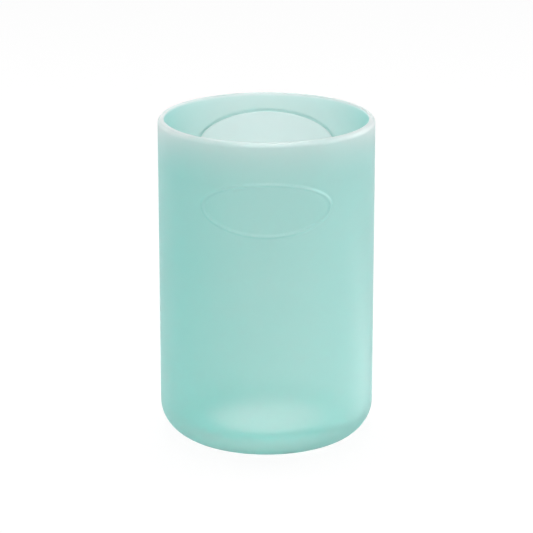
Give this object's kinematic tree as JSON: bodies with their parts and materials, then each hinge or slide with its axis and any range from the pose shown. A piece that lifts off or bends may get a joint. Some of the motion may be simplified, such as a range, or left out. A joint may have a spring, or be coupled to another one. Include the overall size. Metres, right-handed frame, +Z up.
{
  "type": "baby bottle sleeve",
  "caption": "Straight cup-shaped silicone sleeve for a glass baby bottle, with a rounded rim and base, a raised oval bead, a lapped rear window and a loose cushion pad in its floor.",
  "frame": {"origin": "centre of the base, on the surface that the sleeve stands on", "axes": "+Z up along the bore to the mouth, front with the raised oval bead towards -Y, rear window towards +Y"},
  "size_m": [0.07, 0.0704, 0.106],
  "materials": {
    "sleeve_silicone": "satin translucent silicone, mint green",
    "window_silicone": "satin clear silicone, pale mint",
    "pad_silicone": "satin clear silicone, soft, pale mint"
  },
  "bodies": {
    "sleeve": {"sleeve": "sleeve_silicone", "rear_window": "window_silicone"},
    "pad": {"base_pad": "pad_silicone"}
  },
  "joints": [
    {"name": "pad_lift", "type": "slide", "parent": "sleeve", "child": "pad", "axis": [0, 0, 1], "range_m": [0, 0.112]}
  ]
}
